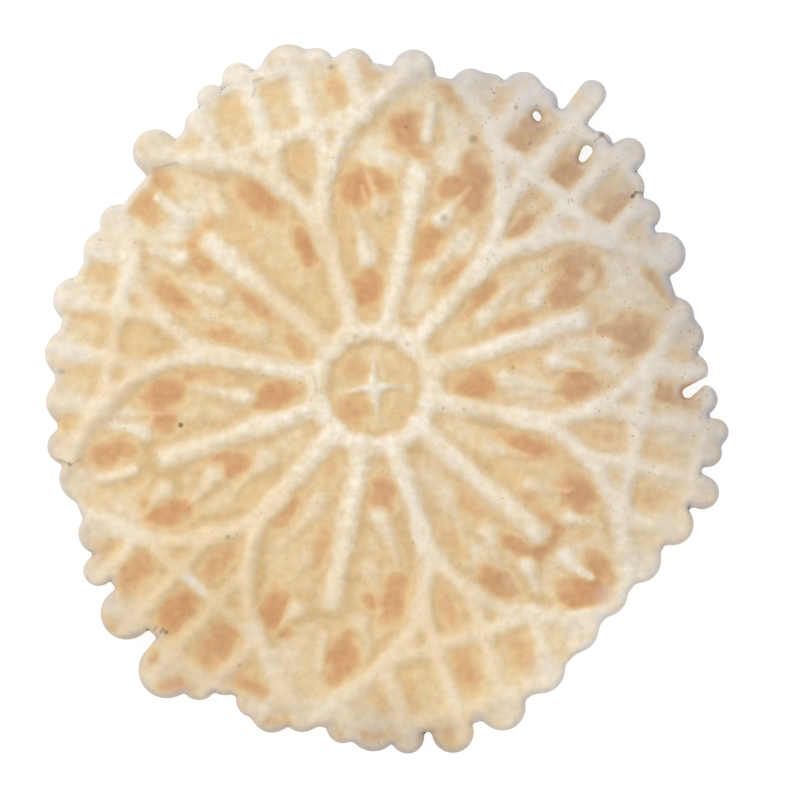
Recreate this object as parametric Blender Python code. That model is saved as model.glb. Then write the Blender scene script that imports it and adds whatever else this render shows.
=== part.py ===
"""A pizzelle: a thin round wafer cookie baked between two engraved iron plates.

The wafer is one piece. A thin floor of batter carries raised ribs on both faces, where the batter
filled the grooves of the irons. The two irons carry the same design, so each rib is one bar that
runs through the floor and stands out above and below it.

The design is a six-petalled flower round a ring. Six spokes and six shared ribs leave the ring. Each
shared rib splits into the outlines of the two petals beside it, and each petal holds teardrop marks.
The valley between two petals holds a lattice of square-set ribs. The batter ran out furthest along
the ribs, so the rim that everything is trimmed to is a row of uneven lobes.

Metres, +Z up. The origin is the centre of the flower, on the face that the wafer rests on.
"""

import math

import bmesh
import bpy
from mathutils import Matrix, Vector

MM = 0.001

# Heights above the table, through the thickness of the wafer.
THICKNESS = 4.4 * MM
FLOOR_LOW = 1.2 * MM
FLOOR_HIGH = 3.2 * MM
MIDDLE = THICKNESS / 2
RIB_SPREAD = 1.5 * MM  # how much wider a rib is on each side at mid-thickness than at its crest
MARK_SPREAD = 1.1 * MM
LATTICE_SINK = 0.2 * MM  # how far the lattice stays below the main ribs
MARK_SINK = 0.35 * MM  # how far the teardrop marks stay below the main ribs

# How many straight sides make the end of a bar.
SQUARE_END = 1
BLUNT_END = 2
ROUND_END = 4

# The flower.
PETALS = 6
SECTOR = math.tau / PETALS
FLOWER_TURN = math.radians(18.5)  # direction of the first petal, from +X

RING_RADIUS = 10.2 * MM
RING_HALF_WIDTH = 1.0 * MM
RING_STEPS = 32

STAR_TURN = math.radians(3.5)
STAR_POINTS = 4
STAR_REACH = 4.9 * MM
STAR_WAIST = 1.1 * MM
STAR_SPREAD = 0.6 * MM

SPOKE_END = 41.4 * MM
SPOKE_HALF_WIDTHS = (0.8 * MM, 1.35 * MM)  # at the ring and at the free end

SHARED_RIB_END = 27.5 * MM
SHARED_HALF_WIDTHS = (1.0 * MM, 0.95 * MM)

# A petal's outline leaves the shared rib, swells to its widest, then closes to a point.
PETAL_STARTS = 20.0 * MM  # hidden inside the shared rib
PETAL_LEAVES = 26.6 * MM
PETAL_SWELL_RADIUS = 22.4 * MM
PETAL_SHOULDER_RADIUS = 27.3 * MM
PETAL_POINT_ANGLE = math.radians(40)
PETAL_TIP = 63.3 * MM
PETAL_HALF_WIDTH = 0.85 * MM
SWELL_STEPS = 3
SHOULDER_STEPS = 5

# Teardrop marks: a round fat end by the spoke, and a thin end that points out beside the shared rib.
MARK_OFFSET = 5.8 * MM
MARK_DISTANCES = (22.9 * MM, 32.8 * MM, 42.4 * MM)
MARK_LENGTHS = (10.8 * MM, 8.2 * MM, 6.2 * MM)
MARK_HALF_WIDTHS = (0.95 * MM, 0.15 * MM)
TIP_MARK_SPAN = (46.4 * MM, 52.4 * MM)
TIP_MARK_HALF_WIDTHS = (0.7 * MM, 0.4 * MM)

# The lattice in each valley, measured from the valley's own centre line.
LATTICE_OFFSETS = (-23.9 * MM, -14.2 * MM, -4.5 * MM, 4.5 * MM, 14.2 * MM, 23.9 * MM)
LATTICE_HALF_WIDTH = 0.75 * MM
LATTICE_END = 72 * MM
CROSS_DISTANCES = (48.4 * MM, 60.8 * MM)
CROSS_HALF_SPANS = (13.2 * MM, 14.2 * MM)

# The rim, in millimetres. Between lobes the floor reaches this far at each petal, and at the
# valley after it.
FLOOR_REACH = (57.6, 62.0, 58.2, 62.2, 56.9, 58.6, 58.4, 60.6, 62.8, 64.0, 59.6, 61.8)
# Each lobe's direction in degrees from +X, its reach and its half-width.
RIM_LOBES = (
    (3.3, 61.1, 2.6), (9.3, 61.0, 3.4), (13.5, 60.0, 3.2), (24.8, 62.3, 4.0), (32.6, 61.6, 2.7),
    (38.5, 62.2, 3.0), (42.6, 66.2, 3.1), (47.3, 62.9, 2.0), (53.5, 69.5, 2.6), (59.4, 63.3, 2.5),
    (63.3, 64.3, 3.9), (68.8, 61.5, 3.0), (72.3, 61.2, 3.4), (83.0, 62.4, 3.9), (93.7, 62.3, 3.4),
    (100.2, 63.2, 3.0), (105.2, 65.0, 5.0), (113.8, 64.8, 3.0), (119.5, 63.4, 2.6),
    (123.4, 60.6, 2.8), (132.9, 63.1, 4.2), (147.2, 59.2, 3.2), (153.2, 59.2, 3.6),
    (163.6, 61.2, 4.0), (173.6, 60.7, 4.2), (182.6, 60.2, 3.8), (190.7, 60.9, 3.2),
    (197.2, 60.2, 4.2), (207.8, 60.8, 3.6), (213.5, 63.4, 2.8), (222.3, 66.1, 4.8),
    (233.6, 69.3, 5.2), (239.2, 66.0, 3.2), (242.6, 62.9, 2.6), (248.6, 64.4, 2.8),
    (252.4, 66.0, 3.8), (257.4, 64.4, 3.4), (264.6, 65.3, 2.8), (269.8, 66.5, 4.6),
    (275.4, 67.2, 3.0), (282.8, 68.4, 3.8), (291.8, 67.2, 4.2), (300.6, 64.2, 4.2),
    (309.8, 61.6, 3.8), (318.2, 60.6, 3.2), (326.8, 61.8, 3.8), (335.4, 63.8, 3.8),
    (342.3, 66.0, 3.1), (349.0, 64.7, 2.6), (352.6, 65.3, 2.5), (358.0, 62.8, 2.6),
)
RIM_STEPS = 270
RIM_SLOPE = 2.0 * MM  # how far the rim is drawn in, from mid-thickness to just past the crests
RIM_MARGIN = 0.2 * MM  # how far past the crests the block for the rim goes
BLANK_RADIUS = 80 * MM  # the floor before it is trimmed to the rim
BLANK_STEPS = 24

# Gaps where the floor ran thin, each a slot between two points with a half-width at each point.
# Two are holes, and the last is open to the rim. All in millimetres.
GAPS = (
    ((38.0, 41.9), (38.9, 43.4), (0.7, 1.0)),
    ((29.5, 50.0), (29.9, 49.4), (0.5, 0.5)),
    ((57.3, -0.9), (61.5, 2.0), (1.0, 0.4)),
)


def clear_scene():
    for old in list(bpy.data.objects):
        bpy.data.objects.remove(old)


def polar(radius, angle):
    return Vector((radius * math.cos(angle), radius * math.sin(angle)))


def petal_angle(index):
    return FLOWER_TURN + index * SECTOR


def valley_angle(index):
    return petal_angle(index) + SECTOR / 2


def placed(right, out, angle):
    """The point a distance out along a line from the centre, and a distance to the right of it."""
    along = polar(1, angle)
    return Vector((out * along.x + right * along.y, out * along.y - right * along.x))


def baked_material():
    """Pale golden wafer, dull and dry."""
    material = bpy.data.materials.new("baked_wafer")
    material.use_nodes = True
    shader = material.node_tree.nodes["Principled BSDF"]
    shader.inputs["Base Color"].default_value = (0.79, 0.62, 0.38, 1)
    shader.inputs["Roughness"].default_value = 0.8
    shader.inputs["Metallic"].default_value = 0
    return material


def solid_object(name, bm, collection):
    bmesh.ops.recalc_face_normals(bm, faces=bm.faces)
    mesh = bpy.data.meshes.new(name)
    bm.to_mesh(mesh)
    bm.free()
    made = bpy.data.objects.new(name, mesh)
    collection.objects.link(made)
    return made


def loft(name, levels, collection):
    """A closed solid through flat outlines of equal length, given as (outline, height)."""
    bm = bmesh.new()
    loops = []
    for outline, height in levels:
        corners = [bm.verts.new((point.x, point.y, height)) for point in outline]
        loops.append([bm.edges.new(pair) for pair in zip(corners, corners[1:] + corners[:1])])
    for lower, upper in zip(loops, loops[1:]):
        bmesh.ops.bridge_loops(bm, edges=lower + upper)
    bmesh.ops.contextual_create(bm, geom=loops[0])
    bmesh.ops.contextual_create(bm, geom=loops[-1])
    return solid_object(name, bm, collection)


def rib(name, crest, waist, sink, collection):
    """A bar through the floor: its crest stands out above and below, its waist is at mid-thickness."""
    levels = ((crest, sink), (waist, MIDDLE), (crest, THICKNESS - sink))
    return loft(name, levels, collection)


def capsule(start, end, half_widths, cap_steps):
    """Outline of a straight bar. cap_steps gives how many sides each end has, start and then end."""
    heading = math.atan2(end.y - start.y, end.x - start.x)
    ends = (
        (end, half_widths[1], heading - math.pi / 2, cap_steps[1]),
        (start, half_widths[0], heading + math.pi / 2, cap_steps[0]),
    )
    outline = []
    for centre, radius, first, steps in ends:
        outline += [centre + polar(radius, first + math.pi * step / steps) for step in range(steps + 1)]
    return outline


def bar(name, start, end, half_widths, cap_steps, sink, collection, spread=RIB_SPREAD):
    crest = capsule(start, end, half_widths, cap_steps)
    waist = capsule(start, end, [half + spread for half in half_widths], cap_steps)
    return rib(name, crest, waist, sink, collection)


def strip(path, half_width):
    """Outline of a bent bar of constant width that follows a path, with mitred corners."""
    left, right = [], []
    for before, here, after in zip([path[0], *path], path, [*path[1:], path[-1]]):
        arriving = (here - before).normalized() if here != before else (after - here).normalized()
        leaving = (after - here).normalized() if here != after else arriving
        along = (arriving + leaving).normalized()
        offset = Vector((-along.y, along.x)) * half_width / along.dot(arriving)
        left.append(here + offset)
        right.append(here - offset)
    return left + right[::-1]


def ring_rib(collection):
    """The ring round the star, turned from its section."""
    inner, outer = RING_RADIUS - RING_HALF_WIDTH, RING_RADIUS + RING_HALF_WIDTH
    section = (
        (inner, 0), (outer, 0), (outer + RIB_SPREAD, MIDDLE),
        (outer, THICKNESS), (inner, THICKNESS), (inner - RIB_SPREAD, MIDDLE),
    )
    bm = bmesh.new()
    corners = [bm.verts.new((radius, 0, height)) for radius, height in section]
    outline = [bm.edges.new(pair) for pair in zip(corners, corners[1:] + corners[:1])]
    bmesh.ops.spin(
        bm, geom=corners + outline, axis=(0, 0, 1), cent=(0, 0, 0),
        angle=math.tau, steps=RING_STEPS, use_merge=True,
    )
    return solid_object("ring_rib", bm, collection)


def star_outline(extra):
    corners = []
    for step in range(2 * STAR_POINTS):
        radius = STAR_WAIST if step % 2 else STAR_REACH
        corners.append(polar(radius + extra, STAR_TURN + step * math.pi / STAR_POINTS))
    return corners


def petal_side(side):
    """One side of a petal that points along +Y, from the shared rib to the tip. side is -1 or 1."""
    heading = math.pi / 2 - SECTOR / 2
    path = [polar(PETAL_STARTS, heading), polar(PETAL_LEAVES, heading)]
    bends = (
        (PETAL_SWELL_RADIUS, SECTOR / 2, SWELL_STEPS),
        (PETAL_SHOULDER_RADIUS, PETAL_POINT_ANGLE, SHOULDER_STEPS),
    )
    for radius, turn, steps in bends:
        centre = path[-1] + polar(radius, heading + math.pi / 2)
        for step in range(1, steps + 1):
            path.append(centre + polar(radius, heading - math.pi / 2 + turn * step / steps))
        heading += turn
    path.append(Vector((0, PETAL_TIP)))
    return [Vector((side * point.x, point.y)) for point in path]


def petal_outline(index, collection):
    """The rib round one petal, up one side to the tip and down the other."""
    turn = Matrix.Rotation(petal_angle(index) - math.pi / 2, 2)
    path = [turn @ point for point in petal_side(-1) + petal_side(1)[-2::-1]]
    crest = strip(path, PETAL_HALF_WIDTH)
    waist = strip(path, PETAL_HALF_WIDTH + RIB_SPREAD)
    return rib(f"petal_outline_{index}", crest, waist, 0, collection)


def flower_ribs(collection):
    ring_rib(collection)
    rib("star", star_outline(0), star_outline(STAR_SPREAD), 0, collection)
    for index in range(PETALS):
        petal, valley = petal_angle(index), valley_angle(index)
        spoke_tip = polar(SPOKE_END - SPOKE_HALF_WIDTHS[1], petal)
        bar(f"spoke_{index}", polar(RING_RADIUS, petal), spoke_tip,
            SPOKE_HALF_WIDTHS, (SQUARE_END, ROUND_END), 0, collection)
        bar(f"shared_rib_{index}", polar(RING_RADIUS, valley), polar(SHARED_RIB_END, valley),
            SHARED_HALF_WIDTHS, (SQUARE_END, BLUNT_END), 0, collection)
        petal_outline(index, collection)


def teardrop_marks(collection):
    for index in range(PETALS):
        petal = petal_angle(index)
        for side in (-1, 1):
            outward = polar(1, petal - side * SECTOR / 2)
            for row, (distance, length) in enumerate(zip(MARK_DISTANCES, MARK_LENGTHS)):
                start = placed(side * MARK_OFFSET, distance, petal)
                bar(f"mark_{index}_{row}_{side}", start, start + outward * length,
                    MARK_HALF_WIDTHS, (ROUND_END, SQUARE_END), MARK_SINK, collection, MARK_SPREAD)
        start, end = (polar(reach, petal) for reach in TIP_MARK_SPAN)
        bar(f"tip_mark_{index}", start, end,
            TIP_MARK_HALF_WIDTHS, (SQUARE_END, BLUNT_END), MARK_SINK, collection, MARK_SPREAD)


def lattice_foot(offset):
    """How far out a lattice rib leaves the petal's outline, in the frame of its valley."""
    turn = Matrix.Rotation(-SECTOR / 2, 2)
    path = [turn @ point for point in petal_side(-1)]
    for before, after in zip(path, path[1:]):
        if before.x < abs(offset) <= after.x:
            share = (abs(offset) - before.x) / (after.x - before.x)
            return before.y + share * (after.y - before.y)
    return path[-1].y


def lattice_ribs(collection):
    half_widths = (LATTICE_HALF_WIDTH, LATTICE_HALF_WIDTH)
    square_ends = (SQUARE_END, SQUARE_END)
    for index in range(PETALS):
        valley = valley_angle(index)
        lines = [
            (placed(offset, lattice_foot(offset), valley), placed(offset, LATTICE_END, valley))
            for offset in LATTICE_OFFSETS
        ]
        for distance, half_span in zip(CROSS_DISTANCES, CROSS_HALF_SPANS):
            lines.append((placed(-half_span, distance, valley), placed(half_span, distance, valley)))
        for order, (start, end) in enumerate(lines):
            bar(f"lattice_{index}_{order}", start, end, half_widths, square_ends, LATTICE_SINK, collection)


def floor_reach(angle):
    """Reach of the floor between lobes, eased from each petal and valley direction to the next."""
    place = ((angle - FLOWER_TURN) / (SECTOR / 2)) % len(FLOOR_REACH)
    index = int(place)
    share = (1 - math.cos(math.pi * (place - index))) / 2
    return (FLOOR_REACH[index] * (1 - share) + FLOOR_REACH[(index + 1) % len(FLOOR_REACH)] * share) * MM


def rim_outline(drawn_in):
    """The floor's reach or the far side of a lobe, whichever is further, in each direction."""
    lobes = []
    for direction, reach, half_width in RIM_LOBES:
        centre = polar((reach - half_width) * MM, math.radians(direction))
        lobes.append((centre, half_width * MM - drawn_in))
    outline = []
    for step in range(RIM_STEPS):
        angle = math.tau * step / RIM_STEPS
        ray = polar(1, angle)
        radius = floor_reach(angle) - drawn_in
        for centre, half_width in lobes:
            aside = abs(centre.cross(ray))
            if aside < half_width and centre.dot(ray) > 0:
                radius = max(radius, centre.dot(ray) + math.sqrt(half_width**2 - aside**2))
        outline.append(ray * radius)
    return outline


def rim_block(collection):
    """A block with the wafer's lobed rim, sloped above and below, that the wafer is trimmed to."""
    edge, face = rim_outline(0), rim_outline(RIM_SLOPE)
    levels = ((face, -RIM_MARGIN), (edge, MIDDLE), (face, THICKNESS + RIM_MARGIN))
    return loft("rim_block", levels, collection)


def floor_disc(collection):
    """A plain round blank as thick as the floor, wider than the wafer."""
    bm = bmesh.new()
    bmesh.ops.create_circle(bm, cap_ends=True, segments=BLANK_STEPS, radius=BLANK_RADIUS)
    bmesh.ops.translate(bm, verts=bm.verts, vec=(0, 0, FLOOR_LOW))
    raised = bmesh.ops.extrude_face_region(bm, geom=bm.faces[:])["geom"]
    corners = [item for item in raised if isinstance(item, bmesh.types.BMVert)]
    bmesh.ops.translate(bm, verts=corners, vec=(0, 0, FLOOR_HIGH - FLOOR_LOW))
    return solid_object("wafer", bm, collection)


def gap_cutters(collection):
    for number, (start, end, half_widths) in enumerate(GAPS):
        radii = [half * MM for half in half_widths]
        slot = capsule(Vector(start) * MM, Vector(end) * MM, radii, (ROUND_END, ROUND_END))
        loft(f"gap_{number}", ((slot, -THICKNESS), (slot, 2 * THICKNESS)), collection)


def helper_collection(name):
    """Holds shapes that the wafer is made with, which aren't pieces of their own."""
    made = bpy.data.collections.new(name)
    bpy.context.scene.collection.children.link(made)
    return made


def combine(target, operation, collection):
    step = target.modifiers.new(collection.name, "BOOLEAN")
    step.operation = operation
    step.operand_type = "COLLECTION"
    step.collection = collection
    step.solver = "EXACT"
    for helper in collection.objects:
        helper.hide_render = True
        helper.display_type = "WIRE"


def main():
    clear_scene()
    ribs, rim, gaps = (helper_collection(name) for name in ("ribs", "rim", "gaps"))
    wafer = floor_disc(bpy.context.scene.collection)
    wafer.data.materials.append(baked_material())
    flower_ribs(ribs)
    teardrop_marks(ribs)
    lattice_ribs(ribs)
    rim_block(rim)
    gap_cutters(gaps)
    combine(wafer, "UNION", ribs)
    combine(wafer, "INTERSECT", rim)
    combine(wafer, "DIFFERENCE", gaps)


main()
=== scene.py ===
"""The looks of a pizzelle: a thin round wafer cookie baked between two engraved iron plates.

One piece, the baked wafer, stands in for the plain solid. Its form is worked out from the same named
sizes as the solid, with rounded crests, a puffed uneven rim, pores and creases, and its browning lies
in the hollows of the pattern. Pattern sizes are in millimetres, from the centre of the flower.
"""

import math

import bmesh
import bpy
import numpy as np
from mathutils import Matrix, Vector, kdtree


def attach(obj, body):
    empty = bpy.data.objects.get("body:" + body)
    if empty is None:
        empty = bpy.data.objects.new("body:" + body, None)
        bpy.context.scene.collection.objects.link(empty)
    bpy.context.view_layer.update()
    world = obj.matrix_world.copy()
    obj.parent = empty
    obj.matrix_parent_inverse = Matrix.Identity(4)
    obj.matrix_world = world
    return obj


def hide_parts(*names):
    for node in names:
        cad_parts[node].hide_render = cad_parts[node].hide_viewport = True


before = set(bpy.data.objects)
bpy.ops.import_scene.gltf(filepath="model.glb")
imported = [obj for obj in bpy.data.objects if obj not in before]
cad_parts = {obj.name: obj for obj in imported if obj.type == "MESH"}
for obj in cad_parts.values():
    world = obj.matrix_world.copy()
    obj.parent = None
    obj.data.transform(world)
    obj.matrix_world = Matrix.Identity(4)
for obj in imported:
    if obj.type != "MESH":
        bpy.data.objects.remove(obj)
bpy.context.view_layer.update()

MM = 0.001

# Heights above the table, through the thickness of the wafer.
THICKNESS = 4.4
FLOOR_HIGH = 3.2
MIDDLE = THICKNESS / 2
RELIEF = THICKNESS - FLOOR_HIGH  # how far a crest stands above the floor
LATTICE_HEIGHT = 1 - 0.2 / RELIEF  # as a share of the main ribs' height
MARK_HEIGHT = 1 - 0.1 / RELIEF

# The flower. A rib's reach is how far its rounded side runs from the crest to the foot.
PETALS = 6
SECTOR = math.tau / PETALS
FLOWER_TURN = math.radians(18.5)
RING_RADIUS = 10.6
RING_REACH = 2.8
STAR_TURN = math.radians(3.5)
STAR_POINTS = 4
STAR_TIP = 4.9
STAR_WAIST = 1.1  # reach of the corners between its points
STAR_SPREAD = 1.3  # width of the slope along its sides
SPOKE_END = 39.8
SPOKE_REACHES = (2.8, 3.6)
SHARED_RIB_END = 27.5
SHARED_REACHES = (3.0, 2.9)
PETAL_LEAVES = 26.6  # how far out the outlines leave the shared rib
PETAL_SWELL_RADIUS = 22.4
PETAL_SHOULDER_RADIUS = 27.3
PETAL_POINT_ANGLE = math.radians(40)
PETAL_TIP = 63.3
PETAL_REACH = 2.9
# How much of each outline's height is left at the petal's tip, on its left and on its right.
TIP_STRENGTHS = ((0.7, 0.7), (0.8, 0.9), (0.3, 0.9), (0.9, 0.8), (0.9, 0.9), (0.8, 0.7))
BEND_STEPS = 8  # straight bars in each of the two bends of an outline
# Painted shade on some outlines' inner flanks: the petal, the side, the bend steps between, and how
# much.
SHADED_FLANKS = ((1, -1, 9, 18, 0.5), (2, 1, 8, 18, 0.45), (3, 1, 8, 18, 0.6), (4, 1, 3, 10, 0.3))
FLANK_SHADE_SHIFT = Vector((1.0, 0.5))  # how far in from the crest the painted shade lies, aside and out
FLANK_SHADE_REACH = 1.9
FLANK_SHADE_START = 0.3  # how strong the painted shade is at the first bend step, as a share of the last

# Teardrop marks, lattice and rim.
MARK_OFFSET = 5.8
MARK_DISTANCES = (22.9, 32.8, 42.4)
MARK_LENGTHS = (10.8, 8.2, 6.2)
MARK_REACHES = (3.2, 0.9)
MARK_FADE = 0.3  # height left at a mark's thin end
MARK_NECK = 3  # the neck lies one part in this many from a mark's fat end
MARK_TAPER = 0.6  # below 1, a mark narrows quickly behind its fat end
TIP_MARK_SPAN = (46.4, 52.4)
TIP_MARK_REACHES = (2.2, 1.8)
# How strongly the marks of each petal came out: left from the centre outwards, right, then the tip.
MARK_STRENGTHS = (
    (0.8, 0.9, 0.4, 0.8, 1.0, 0.6, 0.3),
    (1.0, 0.7, 0.3, 0.7, 1.0, 0.4, 0.8),
    (0.7, 0.7, 1.0, 0.4, 0.4, 0.8, 0.9),
    (0.8, 1.0, 1.0, 1.0, 0.4, 1.0, 0.9),
    (0.9, 0.6, 0.8, 0.7, 0.5, 1.0, 0.6),
    (0.7, 0.7, 1.0, 0.6, 0.9, 1.0, 0.8),
)
LATTICE_OFFSETS = (-23.9, -14.2, -4.5, 4.5, 14.2, 23.9)
LATTICE_REACHES = (2.9, 2.9, 2.8, 2.6, 2.8, 2.9)  # in each valley
LATTICE_END = 72
LATTICE_STRENGTHS = (1.0, 0.9, 0.85, 0.85, 0.9, 0.85)  # how strongly it came out in each valley
CROSS_DISTANCES = (48.4, 60.8)
CROSS_HALF_SPANS = (13.2, 14.2)
BLANK_RADIUS = 80  # further out than any of the wafer

# Between lobes the floor reaches this far at each petal, and at the valley after it.
FLOOR_REACH = (57.6, 62.0, 58.2, 62.2, 56.9, 58.6, 58.4, 60.6, 62.8, 64.0, 59.6, 61.8)
# Each lobe of the rim: its direction in degrees from +X, its reach and its half-width.
RIM_LOBES = (
    (3.3, 61.1, 2.6), (9.3, 61.0, 3.4), (13.5, 60.0, 3.2), (24.8, 62.3, 4.0), (32.6, 61.6, 2.7),
    (38.5, 62.2, 3.0), (42.6, 66.2, 3.1), (47.3, 62.9, 2.0), (53.5, 69.5, 2.6), (59.4, 63.3, 2.5),
    (63.3, 64.3, 3.9), (68.8, 61.5, 3.0), (72.3, 61.2, 3.4), (83.0, 62.4, 3.9), (93.7, 62.3, 3.4),
    (100.2, 63.2, 3.0), (105.2, 65.0, 5.0), (113.8, 64.8, 3.0), (119.5, 63.4, 2.6),
    (123.4, 60.6, 2.8), (132.9, 63.1, 4.2), (147.2, 59.2, 3.2), (153.2, 59.2, 3.6),
    (163.6, 61.2, 4.0), (173.6, 60.7, 4.2), (182.6, 60.2, 3.8), (190.7, 60.9, 3.2),
    (197.2, 60.2, 4.2), (207.8, 60.8, 3.6), (213.5, 63.4, 2.8), (222.3, 66.1, 4.8),
    (233.6, 69.3, 5.2), (239.2, 66.0, 3.2), (242.6, 62.9, 2.6), (248.6, 64.4, 2.8),
    (252.4, 66.0, 3.8), (257.4, 64.4, 3.4), (264.6, 65.3, 2.8), (269.8, 66.5, 4.6),
    (275.4, 67.2, 3.0), (282.8, 68.4, 3.8), (291.8, 67.2, 4.2), (300.6, 64.2, 4.2),
    (309.8, 61.6, 3.8), (318.2, 60.6, 3.2), (326.8, 61.8, 3.8), (335.4, 63.8, 3.8),
    (342.3, 66.0, 3.1), (349.0, 64.7, 2.6), (352.6, 65.3, 2.5), (358.0, 62.8, 2.6),
)
# Gaps where the floor ran thin, each a slot between two points with a half-width at each point.
GAPS = (
    ((38.0, 41.9), (38.9, 43.4), (0.7, 1.0)),
    ((29.5, 50.0), (29.9, 49.4), (0.65, 0.65)),
    ((57.3, -0.9), (61.5, 2.0), (1.0, 0.4)),
)

# Browned patches: how far to the right of the centre line, how far out, half-width, half-length,
# strength and, where one lies askew, how many degrees its far end leans to the right; for each petal
# and then for the valley after each petal.
PETAL_BROWNING = (
    ((6.0, 47.6, 4.0, 4.2, 0.9), (3.4, 43.6, 1.5, 2.2, 0.55), (-10.2, 41.4, 2.6, 3.8, 0.85),
     (-6.8, 45.2, 2.8, 1.4, 0.7), (-4.8, 38.7, 2.7, 3.6, 0.85), (-7.6, 38.4, 1.8, 3.2, 0.5),
     (-0.6, 55.5, 1.3, 5.2, 0.7, 70), (11.6, 35.6, 3.0, 4.0, 0.85), (8.0, 36.6, 1.9, 2.2, 0.5),
     (-3.0, 28.0, 2.0, 4.4, 0.7), (-9.6, 24.2, 1.5, 4.8, 0.75, -30), (5.6, 17.6, 3.2, 4.0, 0.8),
     (3.6, 26.5, 1.5, 3.4, 0.45)),
    ((-3.9, 47.4, 3.1, 3.7, 0.9), (0.0, 43.8, 1.9, 1.4, 0.6), (2.8, 55.2, 1.6, 4.8, 0.6, -50),
     (2.4, 47.8, 1.2, 2.0, 0.4), (-10.8, 35.0, 2.9, 3.8, 0.85), (-6.6, 36.4, 2.8, 2.4, 0.75),
     (10.5, 39.2, 3.1, 5.4, 0.9), (6.2, 38.4, 2.6, 2.2, 0.75), (8.8, 43.6, 1.6, 2.2, 0.5),
     (4.7, 28.4, 2.4, 3.6, 0.75), (3.0, 24.0, 1.1, 2.8, 0.45), (-4.9, 17.2, 3.0, 3.9, 0.85),
     (-3.2, 28.5, 1.4, 2.6, 0.3), (9.8, 22.6, 1.6, 3.6, 0.65, 28),
     (-10.8, 25.2, 1.2, 4.4, 0.35, -28)),
    ((-3.0, 53.0, 2.4, 3.6, 0.6), (2.3, 54.4, 2.2, 3.0, 0.6), (-12.0, 39.0, 2.3, 4.2, 0.75),
     (-3.9, 38.5, 1.9, 3.2, 0.7), (0.6, 42.3, 4.2, 1.2, 0.5), (12.4, 38.6, 3.2, 5.0, 0.8),
     (-11.2, 27.0, 1.8, 4.0, 0.6, -25), (-3.0, 26.5, 1.7, 6.0, 0.6),
     (11.0, 26.3, 2.0, 4.0, 0.85, 25), (-3.8, 15.5, 1.6, 2.8, 0.65), (5.0, 37.0, 2.5, 4.4, 0.4),
     (3.6, 26.5, 1.3, 3.0, 0.25)),
    ((3.9, 49.4, 2.5, 4.8, 0.75), (-9.9, 42.6, 2.6, 4.2, 0.85), (-7.4, 46.3, 2.2, 1.3, 0.55),
     (-5.2, 28.4, 2.7, 3.4, 0.75), (-3.0, 33.0, 1.2, 3.0, 0.4), (6.2, 38.2, 2.7, 2.2, 0.75),
     (11.2, 36.6, 3.0, 4.2, 0.85), (4.5, 17.7, 2.7, 4.2, 0.85), (12.2, 28.4, 1.5, 4.2, 0.5, 25),
     (-2.3, 47.4, 1.2, 2.8, 0.4), (-11.6, 26.4, 2.2, 3.0, 0.35)),
    ((-4.1, 49.5, 3.0, 5.0, 0.8), (-11.0, 37.6, 2.6, 4.4, 0.75), (-7.0, 38.3, 1.8, 1.9, 0.6),
     (-11.6, 33.4, 2.4, 1.6, 0.4), (9.8, 43.5, 2.9, 4.2, 0.85), (7.0, 46.8, 2.2, 1.3, 0.5),
     (3.6, 30.6, 1.8, 4.4, 0.6), (11.2, 25.4, 1.6, 4.0, 0.7, 28), (-5.4, 18.8, 2.9, 3.8, 0.75),
     (5.0, 15.8, 1.7, 3.6, 0.45), (7.4, 63.4, 2.6, 1.0, 0.55), (2.8, 62.8, 1.7, 1.6, 0.55),
     (-3.3, 62.3, 1.6, 0.9, 0.45), (-8.9, 63.2, 3.4, 1.3, 0.6), (-2.9, 31.0, 1.0, 4.0, 0.25)),
    ((1.6, 53.8, 4.6, 3.0, 0.9), (-2.8, 51.2, 2.0, 2.6, 0.7), (4.4, 51.2, 2.0, 2.6, 0.65),
     (-10.2, 40.5, 3.2, 4.2, 0.9), (0.9, 42.6, 4.5, 1.6, 0.75), (4.4, 39.2, 1.9, 3.3, 0.75),
     (-2.9, 40.2, 1.5, 2.6, 0.5), (12.0, 40.5, 2.4, 4.2, 0.85), (-10.8, 28.2, 2.1, 5.0, 0.85, -20),
     (4.6, 27.0, 2.1, 4.2, 0.55), (-3.0, 36.0, 1.4, 4.0, 0.45), (11.6, 29.0, 2.0, 4.2, 0.5, 15),
     (-5.0, 30.0, 2.4, 5.0, 0.3), (6.0, 36.0, 2.2, 3.0, 0.25), (-5.4, 46.3, 2.0, 1.8, 0.4)),
)
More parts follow.
